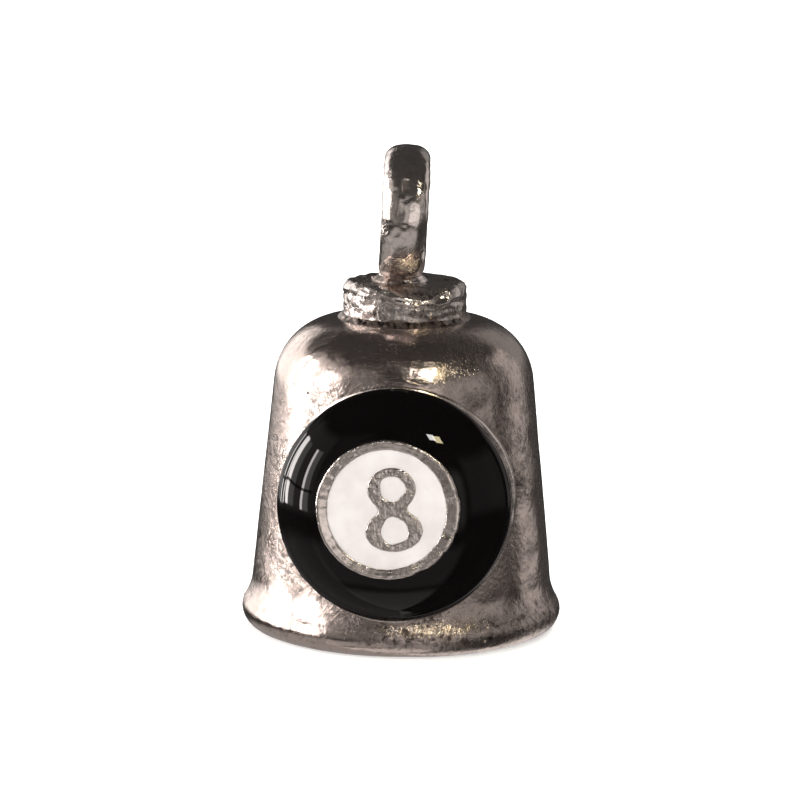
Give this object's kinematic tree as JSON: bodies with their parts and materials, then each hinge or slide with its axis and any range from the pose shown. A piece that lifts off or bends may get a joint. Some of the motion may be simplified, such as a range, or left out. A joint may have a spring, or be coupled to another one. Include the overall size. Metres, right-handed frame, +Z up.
{
  "type": "hanging bell charm",
  "caption": "Small cast-metal hanging bell with a swinging clapper, a hanging loop on a collar, and a raised boss on its front enamelled as a black pool ball with a white numbered field.",
  "frame": {"origin": "on the bell's axis, in the plane that the lip rests on", "axes": "+Z up along the bell's axis to the hanging loop; -Y towards the front, where the enamelled boss is; +X to the right of someone facing the boss, and along the hanging eye's bore"},
  "size_m": [0.025, 0.0273, 0.0379],
  "materials": {
    "cast_pewter": "antiqued cast pewter, polished high spots and dark patina in the recesses",
    "solder": "dull tarnished solder",
    "black_enamel": "glossy hard enamel",
    "white_enamel": "smooth white enamel",
    "clapper_steel": "plated steel wire and ball"
  },
  "bodies": {
    "bell": {"bell_shell": "cast_pewter", "crown_collar": "cast_pewter", "hanger_loop": "cast_pewter", "collar_solder": "solder", "loop_solder": "solder", "crown_washer": "clapper_steel", "clapper_eye": "clapper_steel", "medallion": "cast_pewter", "black_enamel": "black_enamel", "white_enamel_field": "white_enamel", "white_enamel_counters": "white_enamel"},
    "link": {"clapper_link": "clapper_steel"},
    "clapper": {"clapper_stem": "clapper_steel", "clapper_ball": "clapper_steel"}
  },
  "joints": [
    {"name": "link_swing", "type": "hinge", "parent": "bell", "child": "link", "pos_m": [0, 0, 0.01833], "axis": [0, 1, 0], "range_deg": [-22, 22]},
    {"name": "clapper_swing", "type": "hinge", "parent": "link", "child": "clapper", "pos_m": [0, 0, 0.01552], "axis": [1, 0, 0], "range_deg": [-32, 32]}
  ]
}
